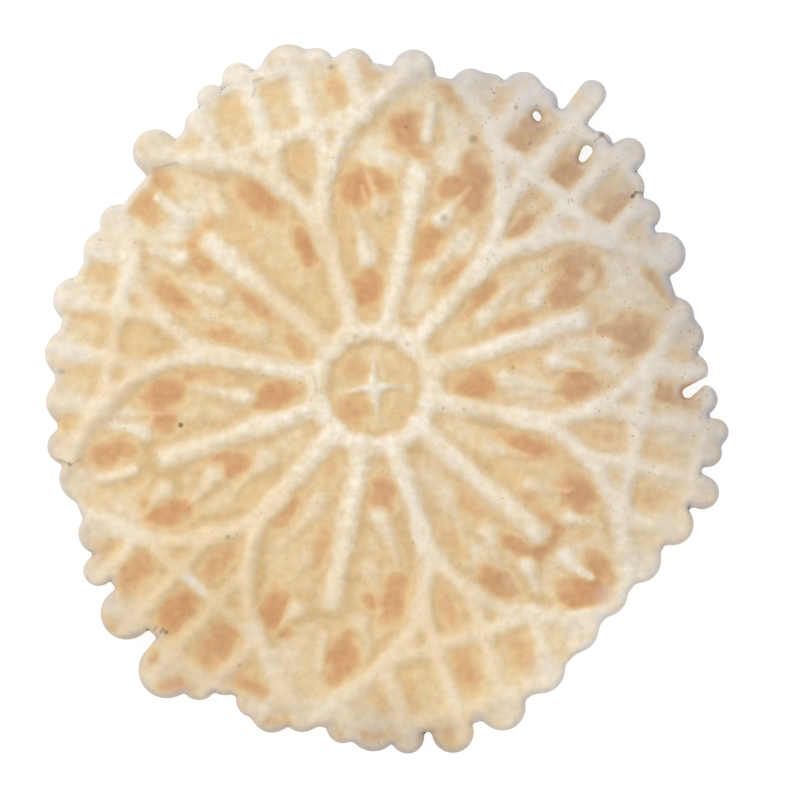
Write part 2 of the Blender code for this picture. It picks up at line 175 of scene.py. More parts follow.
VALLEY_BROWNING = (
    ((-10.0, 53.2, 2.6, 4.6, 0.75), (0.2, 52.8, 2.8, 4.2, 0.95), (11.8, 53.6, 2.0, 4.8, 0.8),
     (8.4, 54.4, 1.8, 4.4, 0.45), (-8.0, 55.0, 2.4, 3.0, 0.35), (0.6, 39.6, 1.6, 4.2, 0.8),
     (-17.0, 54.8, 3.0, 3.0, 0.35), (16.5, 53.0, 2.0, 3.0, 0.2), (10.3, 49.4, 2.2, 1.4, 0.75),
     (-9.4, 49.5, 2.0, 1.4, 0.7)),
    ((-0.6, 57.0, 2.6, 2.8, 0.3), (-8.8, 56.0, 3.0, 4.2, 0.3), (10.8, 53.8, 1.9, 3.2, 0.5),
     (17.4, 55.6, 2.0, 2.6, 0.45), (0.4, 43.8, 1.8, 3.4, 0.45), (2.6, 59.2, 1.8, 1.8, 0.45)),
    ((-7.8, 54.2, 1.5, 4.8, 0.3), (2.6, 54.2, 1.3, 4.6, 0.4), (11.0, 53.0, 2.0, 3.2, 0.4),
     (-17.2, 54.6, 1.8, 2.4, 0.45), (0.0, 44.5, 3.6, 2.8, 0.3), (-5.2, 45.2, 1.8, 1.8, 0.3),
     (6.0, 45.0, 1.8, 1.8, 0.3)),
    ((0.0, 54.2, 2.9, 4.8, 0.85), (-9.7, 53.6, 3.1, 5.6, 0.7), (10.6, 54.2, 2.9, 5.2, 0.66),
     (-16.8, 55.0, 2.6, 3.6, 0.35), (-21.2, 55.4, 1.3, 4.2, 0.6, 80),
     (17.6, 54.8, 2.0, 3.0, 0.45, 30), (-9.8, 64.0, 2.4, 1.6, 0.8), (-7.6, 66.2, 1.6, 1.4, 0.6),
     (-3.0, 63.6, 1.5, 1.6, 0.6), (4.4, 64.0, 1.8, 1.2, 0.4), (7.4, 64.2, 1.6, 1.1, 0.35),
     (0.2, 43.0, 2.1, 5.6, 0.62), (-5.2, 46.0, 1.6, 1.6, 0.35), (4.8, 45.2, 1.8, 3.0, 0.45),
     (-11.2, 48.2, 2.3, 1.8, 0.55)),
    ((12.0, 55.2, 2.4, 4.2, 0.45), (17.0, 54.6, 2.0, 3.0, 0.4), (12.5, 62.5, 3.2, 1.1, 0.55, 15),
     (18.8, 60.6, 3.2, 1.0, 0.45, 20), (7.0, 64.6, 1.5, 2.0, 0.55), (0.5, 54.0, 2.6, 4.4, 0.6),
     (-10.0, 54.0, 2.6, 4.4, 0.5), (0.0, 42.5, 1.9, 5.0, 0.55)),
    ((-9.8, 53.6, 2.2, 4.4, 0.85), (1.2, 52.6, 2.0, 4.4, 0.42), (9.6, 53.0, 2.2, 4.0, 0.5),
     (-17.0, 54.4, 2.4, 2.4, 0.4), (0.4, 42.6, 1.7, 3.8, 0.5)),
)
# Patches that came out bleached and chalky, given in the same way.
PETAL_BLEACHING = (
    ((7.6, 43.3, 4.4, 1.8, 0.7), (-6.0, 50.0, 5.0, 4.0, 0.6), (0.0, 0.0, 1.5, 1.5, 0.8),
     (4.2, 36.8, 1.4, 3.4, 0.6), (11.4, 27.6, 1.8, 3.6, 0.4), (8.0, 41.0, 2.2, 1.4, 0.6),
     (8.4, 24.5, 1.8, 3.0, 0.4)),
    ((-6.9, 42.4, 4.4, 2.6, 0.75), (4.6, 43.8, 1.8, 2.4, 0.6), (5.5, 50.0, 3.2, 3.2, 0.35),
     (11.0, 29.4, 2.0, 2.6, 0.7), (-6.4, 24.4, 1.5, 2.6, 0.7, -15), (4.6, 17.5, 1.8, 3.0, 0.5)),
    ((0.0, 46.3, 5.6, 2.2, 0.75), (-8.5, 52.0, 3.0, 2.5, 0.4)),
    ((-8.8, 50.6, 3.4, 2.8, 0.45), (6.8, 44.4, 1.2, 3.2, 0.6, 30), (9.6, 45.4, 1.4, 3.4, 0.6)),
    ((7.6, 52.0, 3.2, 3.2, 0.4), (8.6, 61.5, 2.4, 0.9, 0.5), (-2.4, 59.4, 2.8, 1.6, 0.5)),
    ((11.0, 34.2, 2.4, 2.2, 0.5), (-2.0, 47.0, 4.0, 1.8, 0.4), (0.4, 46.0, 1.5, 1.8, 0.6)),
)
VALLEY_BLEACHING = (
    ((6.0, 48.5, 4.0, 1.5, 0.5), (-4.5, 50.0, 1.2, 5.0, 0.3), (9.4, 53.8, 0.8, 2.2, 0.45)),
    ((4.4, 55.0, 1.4, 5.0, 0.6), (-4.4, 56.0, 1.4, 4.4, 0.5)),
    ((-4.6, 55.0, 1.5, 4.6, 0.8), (8.0, 48.4, 4.4, 1.4, 0.6), (-13.0, 50.5, 1.2, 4.0, 0.5)),
    ((0.6, 48.6, 2.6, 1.0, 0.9), (8.8, 62.0, 1.4, 1.1, 0.7), (-13.0, 47.5, 1.6, 2.0, 0.5)),
    ((4.4, 58.0, 1.2, 3.4, 0.4),),
    ((-14.0, 50.0, 1.2, 5.0, 0.4),),
)
# The hollows between the star's arms, seen along +Y.
DISC_BROWNING = (
    (-4.0, -4.2, 3.2, 3.0, 0.6), (-3.6, 3.2, 3.0, 2.8, 0.5), (3.8, 3.4, 3.0, 2.8, 0.25),
    (3.8, -4.2, 3.2, 3.0, 0.3),
)

# Wide soft areas of golden, greyer, paler or darker colour, each with its middle, its reach and its
# strength.
GOLDEN_AREAS = (
    (-30, -42, 44, 1.0), (-8, 22, 20, 0.6), (-46, -2, 22, 0.6), (10, -60, 32, 0.9),
    (12, -38, 28, 0.6), (58, -22, 16, 0.8), (-60, -12, 18, 0.6), (-16, 14, 14, 0.65),
    (-28, -28, 16, 0.5), (-44, 12, 16, 0.5), (28, -16, 20, 0.45), (-10, 27, 8, 0.6),
    (-27, 5, 8, 0.6), (12, 5, 8, 0.6), (-34, -30, 10, 0.5), (-20, -19, 9, 0.6), (20, -4, 7, 0.5),
    (-11, 9, 6, 0.8), (-22, 34, 14, 0.5), (-30, -7, 14, 0.4), (16, 51, 10, 0.4), (-34, -30, 7, 0.5),
    (-24, -43, 6, 0.6), (-20, 15, 7, 0.5), (-46, 9, 10, 0.5), (-18, -60, 6, 0.6), (12, -63, 7, 0.7),
    (-41, 43, 6, 0.5), (15, 17, 7, 0.5), (-10, 0, 5, 0.5), (9, -12, 6, 0.5),
)
GREYER_AREAS = (
    (52, 30, 46, 1.0), (30, 54, 34, 0.9), (64, 2, 32, 0.7), (8, 62, 22, 0.6), (46, -20, 30, 0.35),
    (2, -66, 16, 0.5), (62, -10, 16, 0.6), (10, -22, 16, 0.3), (44, 2, 20, 0.25),
    (25, -34, 10, 0.3),
)
PALER_AREAS = (
    (-58, 24, 22, 0.6), (-44, 36, 20, 0.3), (-20, 48, 22, 0.15), (14, 46, 18, 0.4),
    (33, 6, 11, 0.6), (9, 26, 8, 0.4), (26, 14, 8, 0.4), (-8, -48, 18, 0.45), (-22, -28, 11, 0.5),
    (-38, 27, 8, 0.5), (-29, -20, 7, 0.4), (-27, -3, 7, 0.4), (10, -18, 7, 0.5), (17, -9, 6, 0.4),
    (-18, -11, 7, 0.4), (44, -5, 7, 0.6), (-40, 23, 6, 0.5), (12, 33, 7, 0.4),
)
DARKER_AREAS = (
    (60, 13, 15, 0.8), (2, -67, 18, 0.7), (-30, -46, 18, 0.5), (-14, -62, 14, 0.6),
    (45, 38, 12, 0.3), (50, 23, 12, 0.5), (63, -7, 14, 0.6), (16, 54, 9, 0.4), (-16, 61, 8, 0.5),
    (20, -4, 7, 0.4), (45, -20, 8, 0.3), (-53, -28, 8, 0.4), (16, 18, 7, 0.3), (-21, 16, 7, 0.3),
    (-28, 43, 8, 0.25), (-18, 37, 7, 0.25), (6, -3, 6, 0.3), (-41, 43, 6, 0.3), (-47, -43, 7, 0.6),
    (-7, -30, 8, 0.3), (9, -12, 6, 0.3), (20, -36, 7, 0.3), (-40, -34, 9, 0.25), (0, 0, 26, 0.15),
    (30, -28, 5, 0.5), (-13, -48, 12, 0.25), (-28, -38, 14, 0.3), (-10, 27, 5, 0.4),
    (-21, -54, 6, 0.4), (12, -64, 7, 0.7), (46, -30, 8, 0.4),
)

# Small pits, shown by painted shade, each with its place, its radius and how dark it is.
PITS = (
    (-35.4, -6.8, 0.5, 0.85), (18.0, 45.4, 0.85, 0.45), (12.7, 31.0, 0.8, 0.4),
    (-26.7, -27.2, 0.45, 0.4), (25.8, 51.1, 0.45, 0.45), (25.3, 3.7, 0.35, 0.4),
    (12.5, -3.7, 0.35, 0.35), (16.3, -3.9, 0.35, 0.35), (5.7, 47.6, 0.4, 0.35),
    (-3.4, 9.3, 0.5, 0.25), (6.0, 8.0, 0.5, 0.25), (-8.0, 58.5, 0.5, 0.35), (28.4, 44.6, 0.35, 0.4),
    (-20.4, 2.3, 0.3, 0.25), (41.4, 46.2, 0.6, 0.6), (47.1, 35.0, 0.35, 0.8),
    (-38.0, -44.6, 0.4, 0.7), (-55.5, -14.0, 0.4, 0.5), (-37.2, -21.0, 0.4, 0.25),
    (-24.6, -50.6, 0.45, 0.3), (-57.1, 3.0, 0.7, 0.25), (13.0, 60.4, 0.4, 0.3),
    (-5.4, 62.8, 0.5, 0.25),
)
# Fine cracks and creases with painted shade: two end points, a half-width and how dark it is.
CREASES = (
    ((41.3, 45.9), (40.1, 44.9), 0.25, 0.3), ((41.6, 46.0), (42.9, 44.6), 0.25, 0.35),
    ((47.0, 34.8), (47.6, 35.6), 0.3, 0.55), ((47.6, 35.6), (49.2, 35.6), 0.25, 0.5),
    ((-22.0, 55.8), (-20.4, 56.4), 0.3, 0.25), ((-21.7, 54.6), (-22.2, 53.0), 0.25, 0.25),
    ((-57.8, -13.0), (-55.7, -13.8), 0.2, 0.35), ((-55.3, -14.1), (-53.6, -13.0), 0.18, 0.25),
    ((-40.2, -44.2), (-39.8, -43.6), 0.25, 0.4), ((-39.0, -44.6), (-38.6, -44.1), 0.25, 0.45),
    ((-40.3, 39.9), (-36.0, 41.0), 0.22, 0.2), ((-10.9, 1.8), (-10.6, -1.2), 0.35, 0.2),
)
# Light lines that cross the browned patches: the petal, then the two ends, to the right and out.
LIGHT_LINES = (
    (0, (-9.2, 39.4), (-6.6, 36.0)), (0, (9.7, 38.8), (8.3, 34.6)), (1, (-9.8, 38.8), (-6.9, 34.4)),
    (1, (-9.6, 35.6), (-7.5, 31.4)), (1, (9.9, 39.2), (8.2, 35.4)), (3, (8.6, 40.4), (7.2, 36.2)),
    (4, (-9.0, 39.9), (-6.8, 35.6)), (5, (-9.4, 39.0), (-7.4, 36.0)),
    (5, (-9.6, 30.0), (-7.6, 26.6)),
)

# How the wafer's skin is made.
SKIN_PITCH = 0.51  # side of one square of the even skin
SLAB_HALF = 0.8  # half the thickness of the flat slab that the skin is first laid on
RIM_STEPS = 3600  # corners round the outline
GAP_STEPS = 48
EDGE_ROUND = 1.0  # how far in from the rim the wafer's edge is rounded
GAP_ROUND = 0.7
EDGE_LIP = 0.1  # share of the thickness left standing at the very edge
LOBE_HEIGHT = 0.2  # how far the lobes puff up, as a share of the relief
LIP_HEIGHT = 0.3  # and the lip that runs along the rim
LIP_INSET = 1.2
LOBE_BLEND = 0.55  # how softly the lobes run into the floor between them
WAVES = 14  # how many gentle waves are added up for the unevenness
WAVE_SPREAD = (0.7, 1.4)  # the shortest and longest, as shares of the wavelength asked for
CREASE_DEPTH = 0.3
CREASE_SPREAD = 0.5  # how much wider a crease is in the surface than in its colour
LEAST_INSET = 0.001  # keeps a division off nought

# How far the pressed form strays from its drawing, and the length of the waves that it strays in.
WANDER = 0.22
WANDER_LENGTH = 9
BUMP_HEIGHT = 0.07
BUMP_LENGTH = 6
RIPPLE_HEIGHT = 0.035
RIPPLE_LENGTH = 2.2
CREST_CALM = 0.5  # share of the bumps and ripples that is pressed flat on the crests
CREST_LOSS = 0.04  # how unevenly the crests were filled, as a share of the relief
CREST_LENGTH = 12
UNDER_SHIFT = 40  # the underside has the unevenness of a place this far off
RIM_PRESS = 0.7  # share of the pattern's height left at the very rim
RIM_PRESS_INSET = 2.5
GAP_BLEND = 3  # the gaps' sharper rounding is gone this far from them

# How the browning and the paler parts lie on the form.
FOOT_SPREAD = 2.4  # how much further than a rib's foot its band of golden browning and painted shade runs
FOOT_FADE = 0.8  # share of that band that is lost towards the rim
WEDGE_FOOT = 0.55  # share of it that is left in the narrow wedges round the ring
WEDGE_END = 16
WEDGE_SPAN = 12
OUTER_START = 42  # from here out the floor turns paler
OUTER_SPAN = 18
OUTER_PALER = 0.25
EDGE_BAND = 2.1  # width of the greyish band along the rim
EDGE_RAGGED = 0.2
EDGE_LENGTH = 5
GAP_CLEAR = 2.5  # the rim's colour stays this far from the gaps
LOBE_CREAM = 0.4  # how cream the middle of a lobe is, as a share of a crest
LOBE_EDGE = 0.3  # and how much of the rim's colour it takes
BROWN_START = 0.05  # browning fades from this rise of the pattern on
BROWN_FADE = 0.65
PATCH_RAGGED = 0.13  # how far a patch's outline wanders
PATCH_LENGTH = 4
PATCH_REACH = 1.8  # a patch ends here, in shares of its half-width
PATCH_SOFTNESS = 1.5

# Colours, each as it shows on a screen: red, green and blue, from 0 to 255.
FLOOR_DEEP = (220, 195, 150)
FLOOR_LIGHT = (231, 211, 174)
FLOOR_GOLDEN = (219, 189, 138)
FLOOR_PALER = (232, 215, 182)
FLOOR_GREYER = (205, 191, 170)
# Golden browning and painted shade, in the band at each rib's foot.
FOOT_BROWN_AND_SHADE = (204, 168, 116)
CREST_DEEP = (232, 217, 191)
CREST_LIGHT = (243, 234, 218)
CREST_GOLDEN = (231, 208, 169)
CREST_GREYER = (214, 206, 197)
CHALK = (236, 228, 212)
CHALK_GREYER = (220, 213, 201)
LIGHT_LINE = (236, 190, 150)
FLANK_SHADE = (194, 176, 148)
# Painted shade on the inner flanks of some outlines, plain and in the golden areas.
FLANK_SHADE_GOLDEN = (204, 180, 142)
EDGE = (219, 212, 204)
EDGE_GOLDEN = (200, 184, 166)
EDGE_GREYER = (187, 186, 191)
# Painted shade in the creases and cracks, and in the small pits.
CREASE_SHADE = (112, 92, 72)
PIT_SHADE = (108, 84, 62)
STAGE = (140, 140, 140)
# The browns: how browned a patch is where each starts and where it is full, then its colour, plain
# and in the greyer areas.
BROWNS = (
    (0.0, 0.4, (225, 195, 147), (208, 190, 161)),
    (0.18, 0.64, (217, 177, 129), (199, 175, 145)),
    (0.38, 1.0, (203, 149, 103), (180, 150, 119)),
)
# Pores, then finer specks: how far apart they lie, and between which shares of that one fades out.
# Then two ramps, each with its low, its high and what it gives there: how strongly they show as the
# clouds that they gather in thicken, and as the wafer turns greyer. Then their colour.
PORES = (
    (1.9, (0.08, 0.16), (0.45, 0.7, 0.0, 0.6), (0.0, 1.0, 0.6, 1.2), (150, 124, 98)),
    (1.3, (0.06, 0.27), (0.4, 0.62, 0.0, 0.5), (0.0, 0.8, 0.2, 1.0), (158, 136, 112)),
)
PORE_CLOUDS = 5  # size of the clouds that the pores gather in
LIGHT_LINE_HALF = 0.35
LIGHT_LINE_STRENGTH = 0.45
# Strength of the painted shade on the outlines' inner flanks.
FLANK_SHADE_STRENGTH = 0.7
EDGE_STRENGTH = 0.95
DARKENING = (0.84, 0.81, 0.77)  # of red, green and blue, where the wafer is darkest overall
SPOT_FADE = (0.3, 1.5)  # a spot fades between these shares of its radius
LINE_FADE = (0.4, 1.6)  # and a line between these shares of its half-width
CRUMB_DEPTH = 0.11

# The stage, in metres, and the view of it, in millimetres.
STAGE_HALF = 1.5
STAGE_GLOW = 0.8
ROOM_LIGHT = 0.83
LENS = 100
VIEW_WIDTH = 145.6
VIEW_CENTRE = (4.64, -2.22)


def eased(share):
    """From 0 to 1 with a soft start and a soft finish."""
    share = np.clip(share, 0, 1)
    return share * share * (3 - 2 * share)


def blended(first, second, share):
    return first + (second - first) * share


def unevenness(x, y, wavelength, seed):
    """Gentle waves, mostly between -1 and 1, the same for the same seed."""
    chance = np.random.default_rng(seed)
    total = np.zeros_like(x)
    for _ in range(WAVES):
        heading, start = chance.uniform(0, math.tau, 2)
        pace = math.tau / (wavelength * chance.uniform(*WAVE_SPREAD))
        total += np.sin((x * math.cos(heading) + y * math.sin(heading)) * pace + start)
    return total / math.sqrt(WAVES)


def polar(radius, angle):
    return Vector((radius * math.cos(angle), radius * math.sin(angle)))


def petal_angle(index):
    return FLOWER_TURN + index * SECTOR


def valley_angle(index):
    return petal_angle(index) + SECTOR / 2


def placed(right, out, angle):
    """The point a distance out along a line from the centre, and a distance to the right of it."""
    along = polar(1, angle)
    return Vector((out * along.x + right * along.y, out * along.y - right * along.x))


def seen_along(x, y, angle):
    """How far to the right of a line from the centre each point lies, and how far out along it."""
    along = polar(1, angle)
    return x * along.y - y * along.x, x * along.x + y * along.y


# ------ the pressed pattern


def petal_side(side):
    """One side of a petal that points along +Y, from the shared rib to the tip. side is -1 or 1."""
    heading = math.pi / 2 - SECTOR / 2
    path = [polar(PETAL_LEAVES, heading)]
    bends = ((PETAL_SWELL_RADIUS, SECTOR / 2), (PETAL_SHOULDER_RADIUS, PETAL_POINT_ANGLE))
    for radius, turn in bends:
        centre = path[-1] + polar(radius, heading + math.pi / 2)
        for step in range(1, BEND_STEPS + 1):
            path.append(centre + polar(radius, heading - math.pi / 2 + turn * step / BEND_STEPS))
        heading += turn
    path.append(Vector((0, PETAL_TIP)))
    return [Vector((side * point.x, point.y)) for point in path]


def lattice_foot(offset):
    """How far out a lattice rib leaves the petal's outline, in the frame of its valley."""
    turn = Matrix.Rotation(-SECTOR / 2, 2)
    path = [turn @ point for point in petal_side(-1)]
    for before, after in zip(path, path[1:]):
        if before.x < abs(offset) <= after.x:
            share = (abs(offset) - before.x) / (after.x - before.x)
            return before.y + share * (after.y - before.y)
    return path[-1].y


def flower_ribs():
    """Paths of the flower's ribs, each with its reach and its height at the start and at the end."""
    ribs = []
    for index in range(PETALS):
        petal, valley = petal_angle(index), valley_angle(index)
        spoke = [polar(RING_RADIUS, petal), polar(SPOKE_END, petal)]
        shared = [polar(RING_RADIUS, valley), polar(SHARED_RIB_END, valley)]
        turn = Matrix.Rotation(petal - math.pi / 2, 2)
        ribs.append((spoke, SPOKE_REACHES, (1, 1)))
        ribs.append((shared, SHARED_REACHES, (1, 1)))
        for side, strength in zip((-1, 1), TIP_STRENGTHS[index]):
            outline = [turn @ point for point in petal_side(side)]
            ribs.append((outline, (PETAL_REACH, PETAL_REACH), (1, strength)))
    return ribs


def painted_flank_shade(x, y):
    """0 away from the inner flanks with painted shade, up to 1 on them."""
    strongest_shade = np.zeros_like(x)
    for index, side, first, last, strength in SHADED_FLANKS:
        turn = Matrix.Rotation(petal_angle(index) - math.pi / 2, 2)
        inward = Vector((side * FLANK_SHADE_SHIFT.x, FLANK_SHADE_SHIFT.y))
        path = [turn @ (point - inward) for point in petal_side(side)[first:last]]
        heights = (FLANK_SHADE_START * strength, strength)
        strongest_shade = np.maximum(strongest_shade, rib_rise(x, y, path, (FLANK_SHADE_REACH, FLANK_SHADE_REACH), heights, 0))
    return strongest_shade


def teardrop_marks():
    """Paths of the marks in the petals, each in two bars that meet at its neck, given as ribs are."""
    marks = []
    for index in range(PETALS):
        petal = petal_angle(index)
        strengths = iter(MARK_STRENGTHS[index])
        for side in (-1, 1):
            outward = polar(1, petal - side * SECTOR / 2)
            for distance, length in zip(MARK_DISTANCES, MARK_LENGTHS):
                start = placed(side * MARK_OFFSET, distance, petal)
                height = MARK_HEIGHT * next(strengths)
                neck = start + outward * length / MARK_NECK
                share = (1 / MARK_NECK) ** MARK_TAPER
                middle = (blended(*MARK_REACHES, share), height * blended(1, MARK_FADE, share))
                marks.append(([start, neck], (MARK_REACHES[0], middle[0]), (height, middle[1])))
                tail = [neck, start + outward * length]
                end = (MARK_REACHES[1], height * MARK_FADE)
                marks.append((tail, (middle[0], end[0]), (middle[1], end[1])))
        path = [polar(reach, petal) for reach in TIP_MARK_SPAN]
        height = MARK_HEIGHT * next(strengths)
        marks.append((path, TIP_MARK_REACHES, (height, height)))
    return marks


def lattice_ribs():
    """Paths of the lattice's ribs and of the cross bars between them, in every valley."""
    ribs = []
    for index in range(PETALS):
        valley = valley_angle(index)
        lines = []
        for offset in LATTICE_OFFSETS:
            foot = lattice_foot(offset)
            lines.append([placed(offset, foot, valley), placed(offset, LATTICE_END, valley)])
        for distance, half_span in zip(CROSS_DISTANCES, CROSS_HALF_SPANS):
            lines.append([placed(-half_span, distance, valley), placed(half_span, distance, valley)])
        height = LATTICE_HEIGHT * LATTICE_STRENGTHS[index]
        reach = LATTICE_REACHES[index]
        ribs += [(path, (reach, reach), (height, height)) for path in lines]
    return ribs


def bar_distance(x, y, start, end):
    """Distance from a straight bar's middle line, and the share of the way along it."""
    run = end - start
    share = np.clip(((x - start.x) * run.x + (y - start.y) * run.y) / run.length_squared, 0, 1)
    return np.hypot(x - start.x - share * run.x, y - start.y - share * run.y), share


def risen(away, reach):
    """1 on a rib's crest, 0 past its foot, rounded at both."""
    return eased(1 - away / reach)


def rib_rise(x, y, path, reaches, heights, spread):
    """How far one rib stands up at each point. spread widens its foot."""
    highest = np.zeros_like(x)
    bars = len(path) - 1
    for number, (start, end) in enumerate(zip(path, path[1:])):
        away, share = bar_distance(x, y, start, end)
        share = (number + share) / bars
        rise = risen(away, blended(*reaches, share) + spread) * blended(*heights, share)
        highest = np.maximum(highest, rise)
    return highest


def star_rise(x, y, spread):
    """A star of four thin arms: each arm's edge runs straight from its point to the waist."""
    angle = np.arctan2(y, x) - STAR_TURN
    step = math.pi / STAR_POINTS
    aside = np.abs((angle + step) % (2 * step) - step)
    radius = np.hypot(x, y)
    along, across = radius * np.cos(aside), radius * np.sin(aside)
    waist = polar(STAR_WAIST, step)
    edge = (STAR_TIP - along) / (STAR_TIP - waist.x) * waist.y
    return eased((edge + STAR_SPREAD / 2 - across) / (STAR_SPREAD + spread / 2))


def pattern_rise(x, y, spread=0):
    """How far the pattern stands up at each point, from 0 on the floor to 1 on the main crests."""
    bare = 1 - risen(np.abs(np.hypot(x, y) - RING_RADIUS), RING_REACH + spread)
    bare *= 1 - star_rise(x, y, spread)
    for path, reaches, heights in flower_ribs() + lattice_ribs():
        bare *= 1 - rib_rise(x, y, path, reaches, heights, spread)
    marked = np.zeros_like(x)
    for path, reaches, heights in teardrop_marks():
        marked = np.maximum(marked, rib_rise(x, y, path, reaches, heights, spread))
    return 1 - bare * (1 - marked)


# ------ the rim


def floor_reach(angle):
    """Reach of the floor between lobes, eased from each petal and valley direction to the next."""
    place = ((angle - FLOWER_TURN) / (SECTOR / 2)) % len(FLOOR_REACH)
    index = np.minimum(place.astype(int), len(FLOOR_REACH) - 1)
    reach = np.array(FLOOR_REACH)
    share = (1 - np.cos(math.pi * (place - index))) / 2
    return blended(reach[index], reach[(index + 1) % len(reach)], share)


def lobe_centres():
    return [(polar(reach - half, math.radians(turn)), half) for turn, reach, half in RIM_LOBES]


def rim_radius(angle):
    """The floor's reach or the far side of a lobe, whichever is further, with soft notches between."""
    reach = floor_reach(angle)
    push = np.zeros_like(angle)
    for centre, half_width in lobe_centres():
        aside = centre.x * np.sin(angle) - centre.y * np.cos(angle)
        along = centre.x * np.cos(angle) + centre.y * np.sin(angle)
        inside = (np.abs(aside) < half_width) & (along > 0)
        far_side = along + np.sqrt(np.maximum(half_width**2 - aside**2, 0))
        push += np.where(inside, np.exp((far_side - reach) / LOBE_BLEND), 0)
    return reach + LOBE_BLEND * np.log1p(push)


# ------ the relief


def lobe_rise(x, y):
    """0 off the lobes of the rim, rising to 1 in the middle of each."""
    flat = np.ones_like(x)
    for centre, half_width in lobe_centres():
        away = np.hypot(x - centre.x, y - centre.y) / half_width
        flat *= 1 - np.clip(1 - away**2, 0, 1)
    return 1 - flat


def gap_distance(x, y):
    """How far each point lies from the nearest gap in the floor."""
    nearest = np.full_like(x, BLANK_RADIUS)
    for start, end, half_widths in GAPS:
        away, share = bar_distance(x, y, Vector(start), Vector(end))
        nearest = np.minimum(nearest, away - blended(*half_widths, share))
    return nearest


def wandered(x, y):
    """Shifts the pattern a little here and there, so that no rib runs dead straight."""
    return (x + WANDER * unevenness(x, y, WANDER_LENGTH, seed=1),
            y + WANDER * unevenness(x, y, WANDER_LENGTH, seed=2))


def wafer_rise(x, y, inset):
    """The pattern and the puffed rim together, from 0 on the floor to 1 on the main crests."""
    pressed = pattern_rise(*wandered(x, y)) * blended(RIM_PRESS, 1, eased(inset / RIM_PRESS_INSET))
    lip = LIP_HEIGHT * eased(1 - np.abs(inset - LIP_INSET) / LIP_INSET)
    return 1 - (1 - pressed) * (1 - LOBE_HEIGHT * lobe_rise(x, y)) * (1 - lip)


def crease_depth(x, y):
    """How deep the cracks and creases are at each point, as a share of the deepest."""
    deepest = np.zeros_like(x)
    for start, end, half_width, depth in CREASES:
        away, _ = bar_distance(x, y, Vector(start), Vector(end))
        deepest = np.maximum(deepest, depth * eased(1 - away / (CREASE_SPREAD + half_width)))
    return deepest


def half_thickness(x, y, rise, upper):
    """Height of the upper face above mid-thickness, or depth of the under face below it."""
    shifted = x + np.where(upper, 0, UNDER_SHIFT)
    rough = BUMP_HEIGHT * unevenness(shifted, y, BUMP_LENGTH, seed=3)
    rough += RIPPLE_HEIGHT * unevenness(shifted, y, RIPPLE_LENGTH, seed=4)
    full = 1 - CREST_LOSS + CREST_LOSS * unevenness(x, y, CREST_LENGTH, seed=5)
    crest = RELIEF * rise * full
    crest -= CREASE_DEPTH * crease_depth(x, y) * upper
    return np.minimum(FLOOR_HIGH - MIDDLE + rough * (1 - CREST_CALM * rise) + crest, MIDDLE)


# ------ the mesh


def new_object(name, bm):
    mesh = bpy.data.meshes.new(name)
    bm.to_mesh(mesh)
    bm.free()
    made = bpy.data.objects.new(name, mesh)
    bpy.context.scene.collection.objects.link(made)
    return made


def rim_slab():
    """A thin flat slab with the outline of the wafer, at mid-thickness."""
    bm = bmesh.new()
    bmesh.ops.create_circle(bm, cap_ends=True, segments=RIM_STEPS, radius=1)
    angles = np.array([math.atan2(corner.co.y, corner.co.x) for corner in bm.verts])
    for corner, radius in zip(bm.verts, rim_radius(angles)):
        corner.co *= radius * MM
        corner.co.z = (MIDDLE - SLAB_HALF) * MM
    raised = bmesh.ops.extrude_face_region(bm, geom=bm.faces[:])["geom"]
    upper = [item for item in raised if isinstance(item, bmesh.types.BMVert)]
    bmesh.ops.translate(bm, verts=upper, vec=(0, 0, 2 * SLAB_HALF * MM))
    bmesh.ops.recalc_face_normals(bm, faces=bm.faces)
    return new_object("pizzelle_wafer", bm)


def gap_cutter(start, end, half_widths):
    """A tall plug with the outline of one gap."""
    bm = bmesh.new()
    for point, radius in zip((start, end), half_widths):
        for height in (0, THICKNESS):
            place = Matrix.Translation((point[0] * MM, point[1] * MM, height * MM))
            bmesh.ops.create_circle(bm, segments=GAP_STEPS, radius=radius * MM, matrix=place)
    bmesh.ops.convex_hull(bm, input=bm.verts)
    return new_object("gap_cutter", bm)


def apply_modifiers(made):
    """Makes what the modifiers show the object's own mesh."""
    graph = bpy.context.evaluated_depsgraph_get()
    finished = bpy.data.meshes.new_from_object(made.evaluated_get(graph))
    made.modifiers.clear()
    made.data = finished


def cut_gaps(slab):
    """Cuts the gaps in the floor through the slab."""
    cutters = [gap_cutter(*gap) for gap in GAPS]
    for cutter in cutters:
        step = slab.modifiers.new("gap", "BOOLEAN")
        step.operation = "DIFFERENCE"
        step.object = cutter
    apply_modifiers(slab)
    for cutter in cutters:
        bpy.data.objects.remove(cutter)


def lay_even_skin(slab):
    """Gives the slab a skin of small even squares, to be shaped point by point."""
    step = slab.modifiers.new("even_skin", "REMESH")
    step.mode = "VOXEL"
    step.voxel_size = SKIN_PITCH * MM
    apply_modifiers(slab)


def coordinates(mesh):
    """Three rows, with every point's x, y and z."""
    flat = np.empty(3 * len(mesh.vertices))
    mesh.vertices.foreach_get("co", flat)
    return flat.reshape(-1, 3).T


def edge_tree(slab):
    """The points of the slab's own outline, gaps included, ready to be searched."""
    x, y, _ = coordinates(slab.data) / MM
    tree = kdtree.KDTree(len(x))
    for number, place in enumerate(zip(x, y)):
        tree.insert((*place, 0), number)
    tree.balance()
    return tree


def nearest_edge(tree, x, y):
    """The nearest point of the outline to each point, and how far it is."""
    found = [tree.find((*place, 0)) for place in zip(x, y)]
    edge = np.array([place[:2] for place, _, _ in found]).T
    return edge, np.array([distance for _, _, distance in found])


